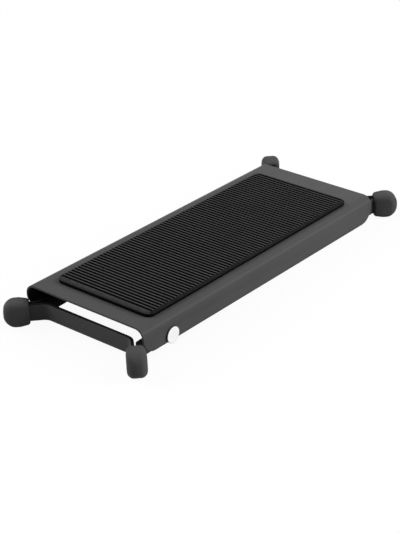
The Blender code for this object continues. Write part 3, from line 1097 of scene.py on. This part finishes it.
class StrapBender:
    """Bends a flat strap on edge, one run and one bend after another."""

    def __init__(self, name: str, start: Vector, length: float, height: float) -> None:
        """Lay the first straight run along +X.

        Args:
            name: the piece's name.
            start: plan point of the strap's end.
            length: the first run.
            height: the strap's height.
        """
        self.start = start
        self.place = start + Vector((length, 0))
        self.heading = 0.0
        middle = ((start + self.place) / 2).to_3d()
        self.work = Workpiece.sheet(name, (length, height), middle, tip=QUARTER_TURN)
        end = self.place
        self.work.pick(
            Element.EDGE,
            lambda edge: all((point.co.xy - end).length < TOLERANCE for point in edge.verts),
        )

    def run(self, length: float) -> None:
        """Add a straight run.

        Args:
            length: the run.
        """
        step = Vector((math.cos(self.heading), math.sin(self.heading))) * length
        self.work.push(step.to_3d())
        self.place = self.place + step

    def bend(self, angle: float, radius: float, steps: int) -> None:
        """Add a bend.

        Args:
            angle: the turn, positive to the left.
            radius: radius of the strap's middle.
            steps: segments in the bend.
        """
        side = math.copysign(1, angle)
        left = Vector((-math.sin(self.heading), math.cos(self.heading)))
        centre = self.place + left * (side * radius)
        self.work.swing(centre.to_3d(), AXIS_Z, angle, steps)
        arm = self.place - centre
        arm.rotate(Matrix.Rotation(angle, 2))
        self.place = centre + arm
        self.heading += angle

    def round_start(self, radius: float, steps: int) -> None:
        """Round the two corners at the strap's start, in the strap's plane."""
        self.work.pick(Element.VERTEX, lambda point: point.co.x < self.start.x + TOLERANCE)
        self.work.round_off(radius, steps, points=True)


@dataclass
class StrapLeg:
    """A U-shaped leg of one flat strap, modelled about the crossing with its two ears to +X.

    Attributes:
        end: the end of the footrest that its ears point to.
        arm_y: from the footrest's middle to the middle of an arm.
        arm_reach, crossbar_x: from the crossing to the arms' free ends and to the crossbar.
        plate_corner_x: from the crossing to the plate's corner beside the ear.
        corner_pass: how far the cap clears that corner, square to the ear and along it.
        bores: place along the arm and radius of each bore.
    """

    name: str
    node: str
    carrier: Carrier
    end: End
    cap: FootCap
    arm_y: float
    arm_reach: float
    crossbar_x: float
    plate_corner_x: float
    corner_pass: tuple[float, float]
    end_round: float
    bores: tuple[tuple[float, float], ...]
    height: float = 0.0120
    thickness: float = 0.0023
    ear_radius: float = 0.0016
    arm_bend_radius: float = 0.00215
    bar_bend_radius: float = 0.00815
    edge_round: float = 0.00035
    bend_steps: int = 8
    fold_steps: int = 20
    end_steps: int = 12
    edge_steps: int = 3

    @property
    def ear_line(self) -> float:
        """The ear's middle line, measured square to its 45 degree direction."""
        gap = (self.plate_corner_x - PLATE_WIDTH / 2) / DIAGONAL
        return gap + self.cap.thickness / 2 + self.corner_pass[0]

    @property
    def ear_fold(self) -> float:
        """The middle of the ear's fold, measured along its 45 degree direction."""
        rim = (self.plate_corner_x + PLATE_WIDTH / 2) / DIAGONAL + self.corner_pass[1]
        return rim + self.cap.length - self.cap.tip_reach

    def cap_places(self) -> dict[Side, Matrix]:
        """Where the two foot caps sit in the leg's frame.

        Returns:
            The placing matrix of each side's cap.
        """
        across = (self.ear_fold + self.ear_line) / DIAGONAL
        aside = (self.ear_fold - self.ear_line) / DIAGONAL
        forward = self.end.value
        places = {}
        for side in Side:
            turn = Matrix.Rotation(math.atan2(side.value, forward), 4, "Z")
            places[side] = Matrix.Translation((forward * across, side.value * aside, 0)) @ turn
        return places

    def build(self, dresser: Dresser) -> None:
        """Model the leg and place it.

        Args:
            dresser: places and finishes the piece.
        """
        strap = self._bend_half()
        mirror_half(strap)
        face_outwards(
            strap, 0, lambda face: face.center.x if abs(face.normal.x) > SQUARE_ON else -math.inf
        )
        # The strap's inner side and cut edges wear the painted shade.
        dresser.wear(strap, POWDER_COAT, INNER_SHADE_COAT)
        give_wall(strap, self.thickness, WallSide.CENTRED, Coat.INSIDE)
        round_edges(strap, self.edge_round, self.edge_steps)
        for place, radius in self.bores:
            bore_across(strap, radius, (place, 0, 0), 2 * self.arm_y)
        turn = Matrix.Rotation(HALF_TURN, 4, "Z") if self.end is End.NEAR else UNMOVED
        dresser.place(strap, self.carrier, POWDER_COAT, self.node, turn)

    def _bend_half(self) -> Piece:
        """Bend the half on the +Y side, from the arm's free end to the crossbar's middle.

        Returns:
            The half, without its wall.
        """
        arm_bend_x = self.arm_y + DIAGONAL * (self.ear_line - self.ear_radius)
        arm_bend_line = (arm_bend_x + self.arm_y) / DIAGONAL
        arm_setback = self.arm_bend_radius * math.tan(EAR_TURN / 2)
        bar_bend_y = self.crossbar_x - DIAGONAL * (self.ear_line + self.ear_radius)
        bar_bend_line = (self.crossbar_x + bar_bend_y) / DIAGONAL
        bar_setback = self.bar_bend_radius * math.tan(EAR_TURN / 2)
        start = Vector((-self.arm_reach, self.arm_y))
        strap = StrapBender(self.name, start, arm_bend_x - arm_setback + self.arm_reach, self.height)
        strap.bend(EAR_TURN, self.arm_bend_radius, self.bend_steps)
        strap.run(self.ear_fold - arm_bend_line - arm_setback)
        strap.bend(-HALF_TURN, self.ear_radius, self.fold_steps)
        strap.run(self.ear_fold - bar_bend_line - bar_setback)
        strap.bend(EAR_TURN, self.bar_bend_radius, self.bend_steps)
        strap.run(bar_bend_y - bar_setback)
        strap.round_start(self.end_round, self.end_steps)
        return strap.work.close()


@dataclass
class FootCap:
    """A boxy rubber cap, modelled about the middle of the ear's fold with its tip to +X.

    Attributes:
        tip_reach: from the middle of the ear's fold to the tip.
        nose_crown: how far the edges of the tip lie behind its middle.
        sole_length: the flat stretch behind the nose that stands on the floor.
        rim_share: the rim's size as a share of the sole's.
    """

    length: float = 0.0175
    thickness: float = 0.0130
    height: float = 0.0184
    tip_reach: float = 0.00605
    nose_radius: float = 0.0080
    edge_radius: float = 0.0040
    rim_radius: float = 0.0018
    nose_crown: float = 0.00254
    sole_length: float = 0.0030
    rim_share: float = 0.88
    slot_width: float = 0.0061
    slot_height: float = 0.0126
    slot_end_wall: float = 0.0030
    round_steps: int = 10
    rim_steps: int = 5

    @property
    def rim_x(self) -> float:
        """Where the rim lies."""
        return self.tip_reach - self.length

    @property
    def nose_x(self) -> float:
        """Where the nose starts."""
        return self.tip_reach - self.nose_radius

    @property
    def sole_x(self) -> float:
        """Where the flat sole ends and the cap begins to draw in."""
        return self.nose_x - self.sole_length

    def build(self, dresser: Dresser, leg: StrapLeg) -> None:
        """Place a cap on each ear of a leg.

        Args:
            dresser: places and finishes the pieces.
            leg: the leg that carries the caps.
        """
        for side, place in leg.cap_places().items():
            corner = f"{leg.end.word}_{side.word}"
            cap = self._model(f"{corner}_rubber_foot")
            dresser.wear(cap, CAP_RUBBER)
            dresser.place(cap, leg.carrier, CAP_RUBBER, f"{corner}_foot_cap", place)

    def _model(self, name: str) -> Piece:
        """Model one cap.

        Args:
            name: its name.

        Returns:
            The cap.
        """
        size = (self.length, self.thickness, self.height)
        work = Workpiece.block(name, size, (self.tip_reach - self.length / 2, 0, 0))

        def at_tip(edge: Edge) -> bool:
            """Whether an edge runs across the tip."""
            ahead = all(point.co.x > self.nose_x for point in edge.verts)
            return ahead and abs(edge.verts[0].co.y - edge.verts[1].co.y) > TOLERANCE

        def on_rim(edge: Edge) -> bool:
            """Whether an edge lies in the rim's plane."""
            return all(point.co.x < self.rim_x + TOLERANCE for point in edge.verts)

        def round_side(edge: Edge) -> bool:
            """Whether an edge bounds one of the two broad sides."""
            return not on_rim(edge) and any(abs(face.normal.y) > FACING for face in edge.link_faces)

        work.pick(Element.EDGE, at_tip)
        work.round_off(self.nose_radius, self.round_steps)
        work.pick(Element.EDGE, round_side)
        work.round_off(self.edge_radius, self.round_steps)
        work.pick(Element.EDGE, on_rim)
        work.round_off(self.rim_radius, self.rim_steps)
        work.pick_all()
        work.score((self.sole_x, 0, 0), AXIS_X)
        cap = work.close()
        self._shape_sides(cap)
        cut_out(cap, self._slot_cutter())
        return cap

    def _shape_sides(self, cap: Piece) -> None:
        """Draw the cap in towards its rim behind the flat sole, and crown its nose.

        Args:
            cap: the blank, cut across where the sole ends.
        """
        for vertex in cap.data.vertices:
            ahead = max((vertex.co.x - self.nose_x) / self.nose_radius, 0)
            vertex.co.x -= self.nose_crown * ahead * (2 * vertex.co.y / self.thickness) ** 2
            nearness = min(max((self.sole_x - vertex.co.x) / (self.sole_x - self.rim_x), 0), 1)
            vertex.co.yz *= 1 - (1 - self.rim_share) * nearness

    def _slot_cutter(self) -> Piece:
        """Model what is cut out for the ear: a block with a round end, open past the rim.

        Returns:
            The cutter.
        """
        inner_x = self.tip_reach - self.slot_end_wall
        mouth_x = self.rim_x - self.edge_radius
        size = (inner_x - mouth_x, self.slot_width, self.slot_height)
        work = Workpiece.block("slot", size, ((inner_x + mouth_x) / 2, 0, 0))

        def at_end(edge: Edge) -> bool:
            """Whether an edge stands upright at the slot's blind end."""
            ahead = all(point.co.x > inner_x - TOLERANCE for point in edge.verts)
            return ahead and abs(edge.verts[0].co.z - edge.verts[1].co.z) > TOLERANCE

        work.pick(Element.EDGE, at_end)
        work.round_off((self.slot_width - FINE_TOLERANCE) / 2, self.round_steps)
        return work.close()


@dataclass
class LegPair:
    """The outer and the inner leg with their foot caps.

    Attributes:
        lower_arm: from the crossing to either crossbar.
        outer_tail: how far the outer arms run past their pivot bores.
    """

    cap: FootCap = field(default_factory=FootCap)
    lower_arm: float = 0.1236761
    pivot_bore: float = 0.0032
    tenon_bore: float = 0.0022
    outer_tail: float = 0.0060

    def build(self, dresser: Dresser) -> None:
        """Model and place both legs, then their caps.

        Args:
            dresser: places and finishes the pieces.
        """
        legs = self._legs(dresser.linkage)
        for leg in legs:
            leg.build(dresser)
        for leg in legs:
            self.cap.build(dresser, leg)

    def _legs(self, linkage: Linkage) -> tuple[StrapLeg, StrapLeg]:
        """The outer and the inner leg with their sizes.

        Args:
            linkage: gives the arms' lengths.

        Returns:
            The outer leg and the inner leg.
        """
        upper_arm = linkage.upper_arm
        outer = StrapLeg(
            name="outer_strap",
            node="outer_leg_strap",
            carrier=Carrier.OUTER_LEG,
            end=End.FAR,
            cap=self.cap,
            arm_y=0.04645,
            arm_reach=upper_arm + self.outer_tail,
            crossbar_x=self.lower_arm,
            plate_corner_x=PLATE_LENGTH - linkage.pivot_inset - upper_arm,
            corner_pass=(0.00322, 0.00341),
            end_round=0.0015,
            bores=((-upper_arm, self.pivot_bore), (0, self.pivot_bore)),
        )
        inner = replace(
            outer,
            name="inner_strap",
            node="inner_leg_strap",
            carrier=Carrier.INNER_LEG,
            end=End.NEAR,
            arm_y=0.04275,
            arm_reach=upper_arm + outer.height / 2,
            plate_corner_x=upper_arm + linkage.pivot_inset,
            corner_pass=(-0.0014, -0.00145),
            end_round=0.00588,
            bores=((-upper_arm, self.tenon_bore), (0, self.pivot_bore)),
        )
        return outer, inner


@dataclass
class PivotRivet:
    """The rivet that hangs the outer leg on a flange, with its low domed head.

    Attributes:
        rim_height: the height of the head's upright rim, under its dome.
        tail_from: from the footrest's middle to the tail.
    """

    head_radius: float = 0.0057
    head_height: float = 0.0013
    rim_height: float = 0.0009
    shank_radius: float = 0.0030
    tail_radius: float = 0.0050
    tail_from: float = 0.0442
    tail_height: float = 0.0008
    dome_steps: int = 12

    @property
    def dome_from(self) -> float:
        """From the footrest's middle to the foot of the dome."""
        return PLATE_WIDTH / 2 + SEAT_GAP + self.rim_height

    def build(self, dresser: Dresser) -> None:
        """Model and place both rivets.

        Args:
            dresser: places and finishes the pieces.
        """
        pivot = -dresser.linkage.plate_middle
        for side in Side:
            rivet = self._model(f"pivot_rivet_{side.word}")
            dresser.wear(rivet, BRIGHT_RIVET, RIVET_BACK_PAINTED_SHADE)
            turn = Matrix.Rotation(-side.value * QUARTER_TURN, 4, "X")
            place = Matrix.Translation((pivot.x, 0, pivot.z)) @ turn
            dresser.place(rivet, Carrier.PLATE, BRIGHT_RIVET, f"plate_rivet_{side.word}", place)

    def _model(self, name: str) -> Piece:
        """Turn a rivet up the Z axis by extruding and resizing its rim, ring by ring.

        Args:
            name: its name.

        Returns:
            The rivet.
        """
        (radius, height), *rings = self._rings()
        work = Workpiece.disc(name, radius, height)
        for new_radius, new_height in rings:
            work.push((0, 0, new_height - height))
            share = new_radius / radius
            bpy.ops.transform.resize(value=(share, share, 1), center_override=(0, 0, new_height))
            radius, height = new_radius, new_height
        work.give_slots(self._slot)
        rivet = work.close()
        tidy_shell(rivet)
        return rivet

    def _rings(self) -> list[tuple[float, float]]:
        """The outline from the tail's inner face to the top of the dome.

        Returns:
            Radius and height of each ring.
        """
        seat = PLATE_WIDTH / 2 + SEAT_GAP
        tail_to = self.tail_from + self.tail_height
        rings = [
            (self.tail_radius, self.tail_from),
            (self.tail_radius, tail_to),
            (self.shank_radius, tail_to),
            (self.shank_radius, seat),
            (self.head_radius, seat),
        ]
        crown = self.head_height - self.rim_height
        for step in range(self.dome_steps):
            angle = QUARTER_TURN * step / self.dome_steps
            rings.append((self.head_radius * math.cos(angle), self.dome_from + crown * math.sin(angle)))
        return rings

    def _slot(self, face: Face) -> Rivet:
        """The slot of a face: the dome, or the rim, shank and tail behind it, which carry painted
        shade.
        """
        is_back = face.calc_center_bounds().z < self.dome_from + FINE_TOLERANCE
        return Rivet.BACK if is_back else Rivet.DOME


class SmallParts:
    """The pieces that keep the frame's solids: bar, racks, washers and crossing rivets."""

    def build(self, dresser: Dresser) -> None:
        """Give each its finish.

        Args:
            dresser: holds the nodes.
        """
        dresser.dress_node("notch_bar", ZINC_PLATE)
        for side in Side:
            for node in ("notch_rack", "plate_washer", "leg_washer", "backing_washer"):
                dresser.dress_node(f"{node}_{side.word}", ZINC_PLATE)
            dresser.dress_node(f"leg_rivet_{side.word}", BRIGHT_RIVET)


@dataclass(frozen=True)
class PhotoCamera:
    """The photograph's camera, measured in the plate's own frame.

    Attributes:
        aside, below: how far the aim lies right of the picture's middle and below it.
        aim_height: from the flanges' lower edge up to the aim, on the plate's middle.
    """

    azimuth: float = math.radians(39.503)
    elevation: float = math.radians(27.173)
    roll: float = math.radians(0.564)
    distance: float = 1.07697
    aside: float = 0.0055265
    below: float = -0.0123164
    aim_height: float = 0.0100754
    focal_px: float = 1570.40
    frame_height_px: float = 533.0
    sensor_mm: float = 36.0
    clip_end: float = 20.0

    def build(self, linkage: Linkage) -> None:
        """Create the camera and make it the scene's.

        Args:
            linkage: gives the plate's frame.
        """
        data = bpy.data.cameras.new("photo_camera")
        data.sensor_width = self.sensor_mm
        data.lens = self.focal_px * self.sensor_mm / self.frame_height_px
        data.clip_end = self.clip_end
        camera = bpy.data.objects.new("photo_camera", data)
        bpy.context.scene.collection.objects.link(camera)
        camera.matrix_world = linkage.frame(Carrier.PLATE) @ self._pose()
        bpy.context.scene.camera = camera

    def _pose(self) -> Matrix:
        """The camera's place and turn in the plate's frame.

        Returns:
            Its placing matrix.
        """
        level = math.cos(self.elevation)
        ahead = Vector(
            (level * math.cos(self.azimuth), level * math.sin(self.azimuth), -math.sin(self.elevation))
        )
        level_right = ahead.cross(Vector(AXIS_Z)).normalized()
        level_down = ahead.cross(level_right)
        cos_roll, sin_roll = math.cos(self.roll), math.sin(self.roll)
        right = level_right * cos_roll + level_down * sin_roll
        down = level_down * cos_roll - level_right * sin_roll
        aim = Vector((0, 0, self.aim_height))
        pose = Matrix((right, -down, -ahead)).transposed().to_4x4()
        pose.translation = aim - right * self.aside - down * self.below - ahead * self.distance
        return pose


@dataclass(frozen=True)
class SoftLamp:
    """A square area lamp of so many watts that looks at the footrest."""

    name: str
    power: float
    place: tuple[float, float, float]
    size: float = 2.4

    def build(self) -> None:
        """Hang the lamp."""
        data = bpy.data.lights.new(self.name, "AREA")
        data.shape = "SQUARE"
        data.size = self.size
        data.energy = self.power
        lamp = bpy.data.objects.new(self.name, data)
        bpy.context.scene.collection.objects.link(lamp)
        lamp.location = self.place
        lamp.rotation_euler = (-Vector(self.place)).to_track_quat("-Z", "Y").to_euler()


@dataclass(frozen=True)
class Studio:
    """A pale floor under plain soft light, most of it from the right and above.

    Attributes:
        floor_white: how much light the floor throws back on the footrest.
        floor_shadow_share: how much of the shadow shows on the white floor.
        world_strength: the sky's light on surfaces.
    """

    floor_size: float = 60.0
    floor_white: float = 0.45
    floor_shadow_share: float = 0.06
    world_strength: float = 0.10
    lamps: tuple[SoftLamp, ...] = (
        SoftLamp("key_light", 90.0, (1.5, -2.25, 1.95)),
        SoftLamp("side_light", 20.0, (0.7, -2.9, 1.05)),
        SoftLamp("fill_light", 70.0, (-1.1, 2.1, 1.9)),
    )

    def build(self) -> None:
        """Make the floor, the world and the lamps."""
        self._floor()
        self._world()
        for lamp in self.lamps:
            lamp.build()
        bpy.context.scene.view_settings.view_transform = "Standard"

    def _floor(self) -> None:
        """The floor: white to the camera, with the shadow left faintly on it."""
        deselect_all()
        bpy.ops.mesh.primitive_plane_add(size=self.floor_size)
        floor = bpy.context.active_object
        floor.name = "studio_floor"
        material = bpy.data.materials.new("pale_floor")
        material.use_nodes = True
        bench = NodeBench(material.node_tree)
        bench.tree.nodes.clear()
        seen = self._seen_rays(bench)
        tone = bench.remap(seen, (0.0, 1.0), (self.floor_white, 1.0))
        surface = {
            0: bench.reckon("MULTIPLY", seen, 1 - self.floor_shadow_share),
            1: bench.add("BsdfDiffuse", "BSDF", {"Color": tone}),
            2: bench.add("Emission", "Emission"),
        }
        output = bench.tree.nodes.new("ShaderNodeOutputMaterial")
        bench.feed(output, {"Surface": bench.add("MixShader", "Shader", surface)})
        floor.data.materials.append(material)

    def _world(self) -> None:
        """An even sky: plain light for surfaces, white for what looks straight at it."""
        world = bpy.data.worlds.new("studio_world")
        bpy.context.scene.world = world
        world.use_nodes = True
        bench = NodeBench(world.node_tree)
        strength = bench.remap(self._seen_rays(bench), (0.0, 1.0), (self.world_strength, 1.0))
        sky = world.node_tree.nodes["Background"]
        bench.feed(sky, {"Color": (1, 1, 1, 1), "Strength": strength})

    @staticmethod
    def _seen_rays(bench: NodeBench) -> Socket:
        """One for rays that show what they hit: camera, glossy and transmission rays.

        Args:
            bench: the bench of the tree that asks.

        Returns:
            The mask.
        """
        rays = bench.tree.nodes.new("ShaderNodeLightPath").outputs
        seen = bench.reckon("MAXIMUM", rays["Is Camera Ray"], rays["Is Glossy Ray"])
        return bench.reckon("MAXIMUM", seen, rays["Is Transmission Ray"])


def main() -> None:
    """Dress the footrest, piece by piece."""
    logging.basicConfig(level=logging.INFO, format="%(name)s: %(message)s")
    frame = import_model()
    joints = {joint["name"]: Vector(joint["pos_m"]) for joint in frame["joints"]}
    linkage = Linkage(pivot=joints["plate_lift"], crossing=joints["inner_leg_swing"])
    dresser = Dresser(frame["nodes"], linkage)
    PhotoCamera().build(linkage)
    for assembly in (TreadPlate(), TreadMat(), LegPair(), PivotRivet(), SmallParts()):
        assembly.build(dresser)
    Studio().build()
    deselect_all()


if __name__ == "__main__":
    main()
